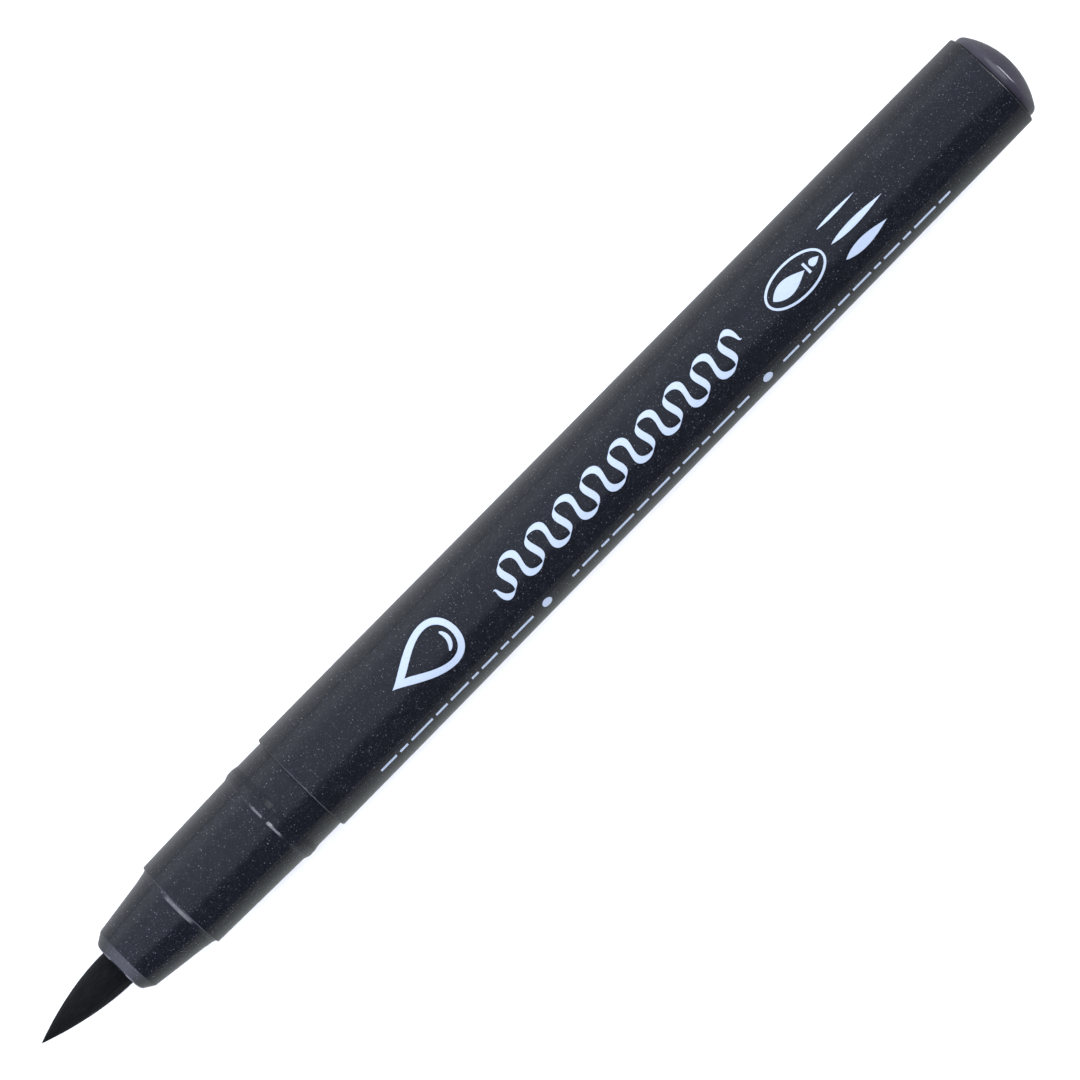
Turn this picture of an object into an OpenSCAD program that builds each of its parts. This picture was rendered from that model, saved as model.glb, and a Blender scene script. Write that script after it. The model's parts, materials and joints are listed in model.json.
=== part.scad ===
// Calligraphy marker with a felt brush nib and a push-on cap.
// The pen's axis is X. The nib points to -X and +Z is up. The origin is on the axis, in the plane of
// the barrel's front edge, where the collar that the cap fits begins. Lengths are in millimetres.

/* [Barrel] */
// Length of the barrel tube
barrel_len = 98.6; // [90:0.1:115]
// Outside diameter of the barrel at its front
barrel_front_d = 11.87; // [11.7:0.01:12.2]
// Outside diameter of the barrel at its rear
barrel_rear_d = 11.33; // [11.2:0.01:11.6]
// Bore of the barrel
barrel_bore_d = 9.2; // [9:0.1:9.4]
// Length of the untapered band behind the front edge
barrel_band_len = 12; // [8:0.5:20]
// How many ribs hold the reservoir off the barrel's wall
rib_count = 6; // [4:1:8]

/* [Front section] */
// Length of the collar in front of the barrel
collar_len = 3.2; // [2.8:0.1:3.6]
// Diameter of the collar
collar_d = 11.2; // [11:0.01:11.3]
// Diameter of the bead that the cap snaps over
bead_d = 11.46; // [11.36:0.01:11.5]
// Diameter of the neck behind, next to the bead
neck_rear_d = 10.98; // [10.8:0.01:11.1]
// Diameter of the neck in front, at the shoulder
neck_front_d = 10.39; // [10.3:0.01:10.6]
// Distance from the barrel's front edge to the shoulder
shoulder_at = 17.2; // [16:0.1:18]
// Diameter of the nose cone at its root
nose_root_d = 9.56; // [9.4:0.01:9.8]
// Diameter of the nose cone at its lip
nose_lip_d = 7.61; // [7.2:0.01:8]
// Distance from the barrel's front edge to the face of the lip
lip_at = 25.85; // [25.5:0.05:26.2]

/* [Nib] */
// Diameter of the felt nib
nib_d = 4.2; // [3.8:0.05:4.3]
// Length of the free, pointed end, from where it bends to its tip
brush_len = 10.5; // [9:0.1:12]
// How steeply the point closes: 1 is a cone, 2 is a parabola
brush_fullness = 1.7; // [1.2:0.1:2]
// How far the worn nib leans to one side, in degrees
nib_lean = 1.3; // [0:0.1:2]

/* [End plug] */
// Diameter of the plug's rim
plug_rim_d = 10.54; // [10:0.01:10.9]
// Height of the domed end over the barrel's rear edge
plug_dome_h = 2.6; // [2.2:0.1:3]
// Radius of the dome's crown
plug_crown_r = 7.5; // [7:0.1:8.5]

/* [Cap] */
// Length of the cap
cap_len = 46; // [44:0.5:50]
// Outside diameter of the cap at its mouth
cap_mouth_d = 12.9; // [12.7:0.05:13.2]
// Outside diameter of the cap at its closed end
cap_end_d = 11.9; // [11.8:0.05:12.2]
// How far in front of its seat the loose cap lies
cap_run = 46.9; // [46.9:0.1:60]
// Which way the clip faces, in degrees from straight up, turning towards -Y
clip_angle = 129; // [90:1:129]

/* [Hidden] */
$fn = 96;

ink_plastic = "#20242e";
plug_plastic = "#48444f";
felt = "#19191b";
natural_plastic = "#d9d8d0";
ink_fibre = "#3a3348";

edge = 0.2;             // rounding of the moulded edges
eps = 0.2;              // how far a joined shape runs into its neighbour

// barrel
bore_r = barrel_bore_d / 2;
barrel_front_r = barrel_front_d / 2;
barrel_rear_r = barrel_rear_d / 2;
rib_h = 0.3;
rib_w = 0.8;
rib_start = 9.2;
rib_end = barrel_len - 11;

// front section: distances run forwards from the barrel's front edge
collar_r = collar_d / 2;
bead_r = bead_d / 2;
bead_start = collar_len + 0.7;
bead_end = bead_start + 0.7;
neck_start = bead_end + 0.7;
nose_start = shoulder_at + 0.6;
cone_end = lip_at - 1.25;
lip_r = 2.85;
lip_hole_r = nib_d / 2 + 0.15;
vent_w = 0.7;           // vents let the air past the bead as the cap goes on
vent_count = 2;
spigot_len = 8;
chamber_r = 3.9;        // room in the spigot in front of the reservoir

// nib holder
holder_r = 2.75;
holder_front = lip_at - 0.95;
holder_step = 10.5;
holder_back = 9.3;
holder_flange_r = 3.85;
stop_t = 0.6;           // the stop that the nib's root butts on
groove_w = 0.6;
groove_r = 2.4;
groove_count = 4;

// nib
nib_r = nib_d / 2;
brush_r = nib_r - 0.02;
pivot_at = lip_at + 0.45;
pocket_r = brush_r + 0.07;
nib_back = holder_back + stop_t;
socket_len = 4;
brush_steps = 18;

// ink system
wick_r = 1.2;
wick_into_reservoir = 12;
reservoir_r = 4.1;
wrap_t = 0.15;
wrap_inset = 0.5;
reservoir_len = barrel_len - 19;

// end plug
plug_rim_r = plug_rim_d / 2;
plug_fillet_r = 0.7;
plug_stem_len = 8;
plug_cup_r = 3.6;
plug_floor_t = 1.4;
plug_crown_x = barrel_len + plug_dome_h - plug_crown_r;
plug_fillet_x = plug_crown_x + sqrt(pow(plug_crown_r - plug_fillet_r, 2) - pow(plug_rim_r - plug_fillet_r, 2));
fin_t = 0.8;
fin_w = 5;

// cap: depths run from the mouth to the closed end
cap_gap = 0.1;          // between the pushed-on cap and the barrel's front edge
cap_mouth_r = cap_mouth_d / 2;
cap_end_r = cap_end_d / 2;
cap_lift = cap_mouth_r - barrel_front_r;    // lays the loose cap on the surface that the barrel lies on
cap_corner_r = 1.5;
cap_crown_h = 0.35;
cap_bore_r = bead_r + 0.12;
snap_r = bead_r + 0.03;
snap_depth = 2;
snap_len = 0.6;
neck_bore_start = neck_start + 0.6;
neck_bore_r = neck_rear_d / 2 + 0.13;
liner_start = shoulder_at + 0.65;
liner_r = 5.1;
liner_bore_r = 4.45;
liner_seat_r = 4.87;
liner_seat_len = 2.3;
liner_end = 40.6;
liner_floor_t = 1;
shell_floor = cap_len - 1.4;

// clip: heights run outwards from the cap's axis
clip_start = 12.8;
clip_root = 42.2;
clip_back = cap_len - 0.5;
clip_top = 8.1;
clip_t = 1.15;
clip_w_root = 3.2;
clip_w_tip = 2.4;
clip_bump_h = 6.5;

// Points of an arc about [x, r] in the half plane of an outline, from angle a0 to angle a1
function arc(x, r, radius, a0, a1, steps = 8) =
    [for (i = [0:steps]) let (a = a0 + (a1 - a0) * i / steps) [x + radius * cos(a), r + radius * sin(a)]];

// Mirrors an outline's distances, for parts that are measured forwards from the origin
function forwards(outline) = [for (p = outline) [-p[0], p[1]]];

// A closed outline of [x, radius] points, turned about the X axis
module turned(outline) {
    rotate([0, 90, 0])
        rotate_extrude()
            polygon([for (p = outline) [p[1], p[0]]]);
}

// A cylinder along X from x0 to x1
module rod(r, x0, x1) {
    translate([x0, 0, 0])
        rotate([0, 90, 0])
            cylinder(r = r, h = x1 - x0);
}

module barrel() {
    outline = concat(
        [[0, bore_r], [0, barrel_front_r - edge]],
        arc(edge, barrel_front_r - edge, edge, 180, 90, 4),
        [[barrel_band_len, barrel_front_r]],
        arc(barrel_len - edge, barrel_rear_r - edge, edge, 90, 0, 4),
        [[barrel_len, bore_r]]
    );
    color(ink_plastic) {
        turned(outline);
        for (i = [0:rib_count - 1])
            rotate([360 * i / rib_count, 0, 0])
                translate([rib_start, -rib_w / 2, bore_r - rib_h])
                    cube([rib_end - rib_start, rib_w, rib_h + eps]);
    }
}

module end_plug() {
    crown_angle = asin((plug_rim_r - plug_fillet_r) / (plug_crown_r - plug_fillet_r));
    stem_x = barrel_len - plug_stem_len;
    cup_x = barrel_len - plug_floor_t;
    fins_x = wick_stop() + reservoir_len;
    outline = concat(
        [[stem_x, plug_cup_r], [cup_x, plug_cup_r], [cup_x, 0]],
        arc(plug_crown_x, 0, plug_crown_r, 0, crown_angle, 16),
        arc(plug_fillet_x, plug_rim_r - plug_fillet_r, plug_fillet_r, crown_angle, 90, 6),
        [[barrel_len, plug_rim_r], [barrel_len, bore_r], [stem_x + edge, bore_r], [stem_x, bore_r - edge]]
    );
    color(plug_plastic) {
        turned(outline);
        for (turn = [0, 90])
            rotate([turn, 0, 0])
                translate([fins_x, -fin_w / 2, -fin_t / 2])
                    cube([cup_x + eps - fins_x, fin_w, fin_t]);
    }
}

module front_section() {
    outline = concat(
        [[-spigot_len, chamber_r], [-spigot_len, bore_r - 2 * edge], [-spigot_len + 2 * edge, bore_r]],
        [[0, bore_r], [0, collar_r], [collar_len, collar_r]],
        [[bead_start, bead_r], [bead_end, bead_r]],
        [[bead_end + 0.2, bead_r - 0.04], [neck_start - 0.2, neck_rear_d / 2 + 0.04]],
        [[neck_start, neck_rear_d / 2]],
        arc(shoulder_at - edge, neck_front_d / 2 - edge, edge, 90, 0, 4),
        [[shoulder_at, nose_root_d / 2 + 0.17], [nose_start, nose_root_d / 2]],
        [[nose_start + 0.8, nose_root_d / 2 - 0.155], [cone_end, nose_lip_d / 2]],
        [[cone_end + 0.8, nose_lip_d / 2 - 0.47], [lip_at - 0.15, lip_r + 0.2], [lip_at, lip_r]],
        [[lip_at, lip_hole_r], [holder_front, lip_hole_r], [holder_front, holder_r]],
        [[holder_step, holder_r], [holder_step, chamber_r]]
    );
    color(ink_plastic)
        difference() {
            turned(forwards(outline));
            for (i = [0:vent_count - 1])
                rotate([360 * i / vent_count, 0, 0])
                    translate([-neck_start, -vent_w / 2, neck_rear_d / 2])
                        cube([neck_start - collar_len - edge, vent_w, bead_r]);
        }
}

module nib_holder() {
    outline = [
        [holder_back, wick_r + 0.1], [holder_back, holder_flange_r],
        [holder_step, holder_flange_r], [holder_step, holder_r],
        [holder_front, holder_r], [holder_front, nib_r],
        [nib_back, nib_r], [nib_back, wick_r + 0.1]
    ];
    color(natural_plastic)
        difference() {
            turned(forwards(outline));
            for (i = [0:groove_count - 1])
                rotate([360 * (i + 0.5) / groove_count, 0, 0])
                    translate([-holder_front - eps, -groove_w / 2, groove_r])
                        cube([holder_front - holder_back + 2 * eps, groove_w, holder_flange_r]);
        }
}

// The held part of the nib. Its front is hollowed round the pivot, so that the free end can turn in it.
module nib_root() {
    color(felt)
        difference() {
            rod(nib_r, -pivot_at, -nib_back);
            rod(wick_r, -nib_back - socket_len, -nib_back + eps);
            translate([-pivot_at, 0, 0])
                sphere(pocket_r);
        }
}

// The free end of the nib: a full-bellied point whose back is a ball about the pivot
module nib_tip() {
    outline = concat(
        arc(0, 0, brush_r, 180, 90, 12),
        [for (i = [1:brush_steps]) let (t = i / brush_steps)
            [t * brush_len, brush_r * (1 - pow(t, brush_fullness))]]
    );
    color(felt)
        translate([-pivot_at, 0, 0])
            rotate([0, 0, -nib_lean])
                turned(forwards(outline));
}

// Where the reservoir starts: at the back of the front section's spigot
function wick_stop() = spigot_len;

module relay_wick() {
    color(ink_fibre)
        rod(wick_r, -nib_back - socket_len, wick_stop() + wick_into_reservoir);
}

module reservoir() {
    color(ink_fibre)
        difference() {
            rod(reservoir_r, wick_stop(), wick_stop() + reservoir_len);
            rod(wick_r, wick_stop() - eps, wick_stop() + wick_into_reservoir);
        }
}

module reservoir_wrap() {
    x0 = wick_stop() + wrap_inset;
    x1 = wick_stop() + reservoir_len - wrap_inset;
    r1 = reservoir_r + wrap_t;
    color("white")
        turned([[x0, reservoir_r], [x0, r1], [x1, r1], [x1, reservoir_r]]);
}

// Puts a part of the cap, drawn by depths from the mouth, where the loose cap lies
module on_loose_cap() {
    translate([-cap_gap - cap_run, 0, cap_lift])
        children();
}

// The clip's side view, extruded, and cut to its plan, which narrows towards the free end
module clip() {
    side = [
        [clip_back, cap_end_r - 1], [clip_back, clip_top - 1.1], [clip_back - 0.4, clip_top - 0.4],
        [clip_back - 1.2, clip_top], [clip_start + 1.6, clip_top - 0.1], [clip_start + 0.5, clip_top - 0.4],
        [clip_start, clip_top - 0.9], [clip_start + 0.3, clip_bump_h + 0.2], [clip_start + 1.1, clip_bump_h],
        [clip_start + 2.2, clip_bump_h + 0.2], [clip_start + 3.6, clip_top - clip_t],
        [clip_root - 1.2, clip_top - clip_t], [clip_root - 0.3, clip_top - clip_t - 0.3],
        [clip_root, clip_top - clip_t - 1], [clip_root, cap_end_r - 1]
    ];
    plan = [
        [clip_back + eps, clip_w_root / 2], [clip_start + 1.2, clip_w_tip / 2], [clip_start, clip_w_tip / 4],
        [clip_start, -clip_w_tip / 4], [clip_start + 1.2, -clip_w_tip / 2], [clip_back + eps, -clip_w_root / 2]
    ];
    intersection() {
        translate([0, clip_w_root / 2, 0])
            rotate([90, 0, 0])
                linear_extrude(clip_w_root)
                    polygon(forwards(side));
        linear_extrude(clip_top)
            polygon(forwards(plan));
    }
}

module cap_shell() {
    outline = concat(
        arc(edge, cap_mouth_r - edge, edge, 180, 90, 4),
        arc(cap_len - cap_corner_r, cap_end_r - cap_corner_r, cap_corner_r, 90, 0, 8),
        [[cap_len + 0.75 * cap_crown_h, (cap_end_r - cap_corner_r) / 2], [cap_len + cap_crown_h, 0]],
        [[shell_floor, 0], [shell_floor, liner_r], [liner_start, liner_r]],
        [[liner_start, neck_front_d / 2 + 0.15], [neck_bore_start, neck_bore_r]],
        [[neck_bore_start - 0.8, cap_bore_r], [snap_depth + snap_len + 0.3, cap_bore_r]],
        [[snap_depth + snap_len, snap_r], [snap_depth, snap_r], [snap_depth - 0.3, cap_bore_r]],
        [[2 * edge, cap_bore_r], [0, cap_bore_r + edge]]
    );
    color(ink_plastic)
        on_loose_cap() {
            turned(forwards(outline));
            rotate([clip_angle, 0, 0])
                clip();
        }
}

module cap_liner() {
    seat_end = liner_start + liner_seat_len;
    floor_start = liner_end - liner_floor_t;
    outline = [
        [liner_start, liner_seat_r], [liner_start, liner_r], [liner_end, liner_r], [liner_end, 0],
        [floor_start, 0], [floor_start, liner_bore_r], [seat_end, liner_bore_r]
    ];
    color(natural_plastic)
        on_loose_cap()
            turned(forwards(outline));
}

barrel();
end_plug();
front_section();
nib_holder();
nib_root();
nib_tip();
relay_wick();
reservoir();
reservoir_wrap();
cap_shell();
cap_liner();
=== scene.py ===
"""Looks of a calligraphy marker: turned skins, felt nib, printed marks, clip, finishes and studio.

Lengths are in millimetres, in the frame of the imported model: X runs along the pen with the nib towards
-X, and the printed side faces +Z. Meshes are turned into metres as they are made.
"""

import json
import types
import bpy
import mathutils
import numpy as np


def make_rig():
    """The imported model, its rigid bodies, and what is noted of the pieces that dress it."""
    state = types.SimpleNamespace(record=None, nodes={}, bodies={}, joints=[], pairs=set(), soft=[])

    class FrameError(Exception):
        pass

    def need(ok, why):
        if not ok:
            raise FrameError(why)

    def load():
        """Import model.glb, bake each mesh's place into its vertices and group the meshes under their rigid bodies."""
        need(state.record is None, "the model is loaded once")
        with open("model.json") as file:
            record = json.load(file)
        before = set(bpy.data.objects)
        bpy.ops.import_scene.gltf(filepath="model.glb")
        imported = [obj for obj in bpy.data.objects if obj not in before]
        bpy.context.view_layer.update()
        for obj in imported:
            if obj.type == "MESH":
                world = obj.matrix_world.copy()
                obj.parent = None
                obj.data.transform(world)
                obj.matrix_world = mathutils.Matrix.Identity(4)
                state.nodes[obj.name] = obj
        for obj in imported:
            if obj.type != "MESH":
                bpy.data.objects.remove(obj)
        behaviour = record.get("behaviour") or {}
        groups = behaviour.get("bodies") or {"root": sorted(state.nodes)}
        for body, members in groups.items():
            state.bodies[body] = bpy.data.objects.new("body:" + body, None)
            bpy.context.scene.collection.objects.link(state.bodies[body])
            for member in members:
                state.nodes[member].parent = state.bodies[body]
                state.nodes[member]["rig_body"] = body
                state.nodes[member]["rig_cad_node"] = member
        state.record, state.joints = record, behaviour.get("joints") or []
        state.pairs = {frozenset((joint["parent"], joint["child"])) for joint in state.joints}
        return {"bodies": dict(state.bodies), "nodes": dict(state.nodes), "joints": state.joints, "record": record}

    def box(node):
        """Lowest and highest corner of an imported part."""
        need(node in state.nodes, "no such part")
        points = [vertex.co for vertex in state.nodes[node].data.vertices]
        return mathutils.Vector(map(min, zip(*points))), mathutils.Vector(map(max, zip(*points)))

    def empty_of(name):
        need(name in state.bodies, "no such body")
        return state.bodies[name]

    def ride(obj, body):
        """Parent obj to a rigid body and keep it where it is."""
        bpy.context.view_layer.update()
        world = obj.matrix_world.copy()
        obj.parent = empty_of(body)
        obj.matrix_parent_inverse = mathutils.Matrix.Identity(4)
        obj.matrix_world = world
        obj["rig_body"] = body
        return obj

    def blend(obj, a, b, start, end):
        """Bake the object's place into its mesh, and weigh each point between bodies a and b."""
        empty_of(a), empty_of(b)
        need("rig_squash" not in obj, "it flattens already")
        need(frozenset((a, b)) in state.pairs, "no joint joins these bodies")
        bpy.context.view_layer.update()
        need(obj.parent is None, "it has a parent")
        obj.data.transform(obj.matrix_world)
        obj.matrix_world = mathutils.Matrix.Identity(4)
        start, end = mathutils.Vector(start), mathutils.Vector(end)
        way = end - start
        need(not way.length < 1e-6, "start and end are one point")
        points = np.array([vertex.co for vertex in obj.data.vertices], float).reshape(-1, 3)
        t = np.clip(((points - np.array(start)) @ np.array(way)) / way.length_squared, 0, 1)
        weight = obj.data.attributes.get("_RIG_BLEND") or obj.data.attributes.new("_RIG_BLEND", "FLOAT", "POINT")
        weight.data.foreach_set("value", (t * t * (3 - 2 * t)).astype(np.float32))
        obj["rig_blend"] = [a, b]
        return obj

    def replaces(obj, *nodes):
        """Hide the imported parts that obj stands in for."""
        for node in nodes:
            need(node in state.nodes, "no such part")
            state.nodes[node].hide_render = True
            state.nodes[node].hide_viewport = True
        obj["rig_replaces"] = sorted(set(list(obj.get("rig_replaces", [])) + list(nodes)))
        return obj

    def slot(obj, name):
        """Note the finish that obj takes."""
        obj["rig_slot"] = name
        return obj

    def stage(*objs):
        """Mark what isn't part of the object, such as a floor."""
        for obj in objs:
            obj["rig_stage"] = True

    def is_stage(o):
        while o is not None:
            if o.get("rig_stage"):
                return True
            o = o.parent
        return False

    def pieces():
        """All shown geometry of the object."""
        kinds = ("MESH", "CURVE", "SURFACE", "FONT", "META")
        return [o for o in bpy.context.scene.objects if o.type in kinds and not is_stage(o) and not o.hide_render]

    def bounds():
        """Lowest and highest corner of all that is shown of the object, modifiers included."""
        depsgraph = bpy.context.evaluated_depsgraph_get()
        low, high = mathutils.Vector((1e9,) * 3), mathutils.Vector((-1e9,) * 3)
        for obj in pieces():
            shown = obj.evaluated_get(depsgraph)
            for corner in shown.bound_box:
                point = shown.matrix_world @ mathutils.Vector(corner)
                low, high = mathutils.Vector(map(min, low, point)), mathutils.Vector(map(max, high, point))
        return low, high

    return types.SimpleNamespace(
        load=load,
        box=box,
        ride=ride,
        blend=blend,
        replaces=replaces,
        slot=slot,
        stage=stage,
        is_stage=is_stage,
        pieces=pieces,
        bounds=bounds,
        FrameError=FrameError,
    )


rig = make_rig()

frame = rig.load()
CAD_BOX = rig.bounds()

import json
import logging
import math
from collections.abc import Callable, Sequence
from dataclasses import dataclass
from enum import Enum

import bpy
import numpy as np
from mathutils import Matrix, Vector

LOG = logging.getLogger("marker")
SIZE_FILE = "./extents.json"
MM = 0.001
TURN = 2 * math.pi
STRANDS = "strands"      # the attribute that carries the fibres' direction
SHARP_ANGLE = math.radians(38)
Array = np.ndarray
ShapeRule = Callable[[Array, Array, Array], Array]


# ---------------------------------------------------------------- surfaces


@dataclass(frozen=True)
class Corner:
    """One corner of an outline in the half plane of a turned part.

    Args:
        x: place along the part, in mm.
        r: distance from the part's axis, in mm.
        rounding: radius that the corner is rounded to, in mm.
    """

    x: float
    r: float
    rounding: float = 0.0


def rounded(corners: Sequence[Corner], closed: bool = False, spacing: float = 1.0) -> Array:
    """Samples an outline, with its corners rounded and its straight stretches cut into short steps.

    A rounded corner's arc touches both sides at rounding * tan(turn / 2) from the corner. Its points
    are a blend of the two touching radii, weighted by the sines of the angle still to go and the angle
    gone. Straight stretches get extra points close to their ends, so that shading stays true there.

    Args:
        corners: the outline's corners in order.
        closed: whether the last corner joins the first.
        spacing: the longest step on a straight stretch, in mm.

    Returns:
        An array of (x, r) rows, without a repeated first row.
    """
    places = np.array([(c.x, c.r) for c in corners])
    count = len(corners)
    arcs: list[Array] = []
    for i, corner in enumerate(corners):
        here = places[i]
        inner = closed or 0 < i < count - 1
        back, on = places[i - 1] - here, places[(i + 1) % count] - here
        if not inner or corner.rounding == 0:
            arcs.append(here[None])
            continue
        back_len, on_len = np.linalg.norm(back), np.linalg.norm(on)
        back, on = back / back_len, on / on_len
        turn = math.pi - math.acos(float(np.clip(back @ on, -1, 1)))
        if turn < 0.01:
            arcs.append(here[None])
            continue
        reach = min(corner.rounding * math.tan(turn / 2), 0.48 * min(back_len, on_len))
        radius = reach / math.tan(turn / 2)
        middle = back + on
        centre = here + middle / np.linalg.norm(middle) * radius / math.cos(turn / 2)
        steps = max(2, math.ceil(math.degrees(turn) / 9))
        gone = np.linspace(0, turn, steps + 1)[:, None]
        start, end = here + back * reach - centre, here + on * reach - centre
        arcs.append(centre + (start * np.sin(turn - gone) + end * np.sin(gone)) / math.sin(turn))
    pieces: list[Array] = []
    for i, arc in enumerate(arcs):
        pieces.append(arc)
        if i == count - 1 and not closed:
            break
        start, end = arc[-1], arcs[(i + 1) % count][0]
        length = float(np.linalg.norm(end - start))
        cuts = np.linspace(0, 1, max(1, math.ceil(length / spacing)) + 1)
        guard = min(0.04, length / 4) / max(length, 1e-9)
        cuts = np.unique(np.concatenate([cuts, [guard, 1 - guard]]))[1:-1]
        pieces.append(start + (end - start) * cuts[:, None])
    return np.concatenate(pieces)


@dataclass
class Shell:
    """A closed surface.

    Args:
        points: (n, 3) places in mm.
        quads: (m, 4) point numbers.
        tris: (k, 3) point numbers.
        strands: (n, 3) directions for patterns that follow the surface, or None.
    """

    points: Array
    quads: Array
    tris: Array
    strands: Array | None = None

    def volume(self) -> float:
        """Sums the signed volumes of the tetrahedra between the origin and each face's triangles."""
        fans = np.concatenate([self.tris, self.quads[:, [0, 1, 2]], self.quads[:, [0, 2, 3]]])
        a, b, c = (self.points[fans[:, k]] for k in range(3))
        return float(np.einsum("ij,ij->i", a, np.cross(b, c)).sum() / 6)

    def outward(self) -> "Shell":
        """Turns every face round if the surface's volume comes out negative."""
        if self.volume() < 0:
            self.quads, self.tris = self.quads[:, ::-1], self.tris[:, ::-1]
        return self


def tube(sections: Array, ends: tuple[Array | None, Array | None] = (None, None),
         closed: bool = False) -> Shell:
    """Joins a row of closed sections into one closed surface.

    Point j of section i is joined to point j + 1 of the same section and to point j of the next one.
    An open tube's ends are closed by fans about a centre point.

    Args:
        sections: (rows, columns, 3) places in mm.
        ends: the centre points of the two fans; None stands for the middle of the end section.
        closed: whether the last section joins the first, as on a ring.

    Returns:
        The surface, facing outwards.
    """
    rows, columns = sections.shape[:2]
    numbers = np.arange(rows * columns).reshape(rows, columns)
    beside = np.roll(numbers, -1, axis=1)
    here, there = (numbers, np.roll(numbers, -1, axis=0)) if closed else (numbers[:-1], numbers[1:])
    side, far_side = (beside, np.roll(beside, -1, axis=0)) if closed else (beside[:-1], beside[1:])
    quads = np.stack([here, side, far_side, there], axis=-1).reshape(-1, 4)
    points = sections.reshape(-1, 3)
    if closed:
        return Shell(points, quads, np.zeros((0, 3), int)).outward()
    middles = [s.mean(0) if e is None else np.asarray(e, float) for s, e in zip(sections[[0, -1]], ends)]
    first, last = rows * columns, rows * columns + 1
    tris = np.concatenate([
        np.stack([beside[0], numbers[0], np.full(columns, first)], axis=-1),
        np.stack([numbers[-1], beside[-1], np.full(columns, last)], axis=-1),
    ])
    return Shell(np.concatenate([points, middles]), quads, tris).outward()


def even_angles(count: int = 160) -> Array:
    """Angles from +Z, turning towards +Y, at even steps round a full turn."""
    return np.arange(count) * TURN / count


def angles_with_edges(count: int, edges: Sequence[float]) -> Array:
    """Even angles, with a close pair added at each angle where the surface has a sharp step."""
    pairs = [e + side for e in edges for side in (-0.0015, 0.0015)]
    return np.unique(np.round(np.mod(np.concatenate([even_angles(count), pairs]), TURN), 6))


def turned(outline: Array, angles: Array, closed: bool = False, lift: float = 0.0,
           rule: ShapeRule | None = None) -> Shell:
    """Turns an outline about the X axis.

    A point at distance r and angle a lies at (x, r sin a, lift + r cos a).

    Args:
        outline: (x, r) rows. An open outline begins and ends on the axis.
        angles: the angles of the columns, in radians.
        closed: whether the outline is a loop that stays clear of the axis.
        lift: height of the part's axis over the pen's.
        rule: gives the distance from x, r and angle, for parts that aren't quite round.

    Returns:
        The surface, facing outwards.
    """
    body = outline if closed else outline[1:-1]
    x, r = body[:, :1], body[:, 1:]
    a = angles[None, :]
    r = r * np.ones_like(a) if rule is None else rule(x * np.ones_like(a), r * np.ones_like(a), a)
    sections = np.stack([x * np.ones_like(a), r * np.sin(a), lift + r * np.cos(a)], axis=-1)
    ends = tuple(np.array([outline[k, 0], 0.0, lift]) for k in (0, -1))
    return tube(sections, ends, closed)


def arc(x: float, r: float, radius: float, start: float, end: float, steps: int = 12) -> Array:
    """Points of an arc about (x, r) in an outline, from one angle in degrees to another."""
    a = np.radians(np.linspace(start, end, steps + 1))
    return np.stack([x + radius * np.cos(a), r + radius * np.sin(a)], axis=-1)


def make_piece(name: str, shells: Sequence[Shell], finish: bpy.types.Material, slot: str) -> bpy.types.Object:
    """Makes one smooth-shaded object, in metres and at the origin, from closed surfaces.

    Args:
        name: the piece's name.
        shells: the surfaces that it is made of.
        finish: its material.
        slot: the record's material slot that it takes its finish from.

    Returns:
        The new object.
    """
    starts = np.cumsum([0] + [len(s.points) for s in shells[:-1]])
    points = np.concatenate([s.points for s in shells]) * MM
    quads = np.concatenate([s.quads + k for s, k in zip(shells, starts)])
    tris = np.concatenate([s.tris + k for s, k in zip(shells, starts)])
    mesh = bpy.data.meshes.new(name)
    mesh.vertices.add(len(points))
    mesh.vertices.foreach_set("co", points.astype(np.float32).ravel())
    mesh.loops.add(quads.size + tris.size)
    mesh.loops.foreach_set("vertex_index", np.concatenate([quads.ravel(), tris.ravel()]).astype(np.int32))
    mesh.polygons.add(len(quads) + len(tris))
    sides = np.concatenate([np.full(len(quads), 4), np.full(len(tris), 3)])
    mesh.polygons.foreach_set("loop_start", (np.cumsum(sides) - sides).astype(np.int32))
    mesh.polygons.foreach_set("use_smooth", np.ones(len(sides), bool))
    mesh.update(calc_edges=True)
    mesh.set_sharp_from_angle(angle=SHARP_ANGLE)
    if all(s.strands is not None for s in shells):
        strands = np.concatenate([s.strands for s in shells]).astype(np.float32)
        mesh.attributes.new(STRANDS, "FLOAT_VECTOR", "POINT").data.foreach_set("vector", strands.ravel())
    mesh.materials.append(finish)
    piece = bpy.data.objects.new(name, mesh)
    bpy.context.scene.collection.objects.link(piece)
    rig.slot(piece, slot)
    LOG.info("%s: %d points, %d faces", name, len(points), len(sides))
    return piece


def smooth_step(value: Array, start: float, end: float) -> Array:
    """Rises from 0 at start to 1 at end as 3 t^2 - 2 t^3."""
    t = np.clip((value - start) / (end - start), 0, 1)
    return t * t * (3 - 2 * t)


# ---------------------------------------------------------------- shader maths


Operand = "Value | float"      # the name of a type that is defined below


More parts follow.
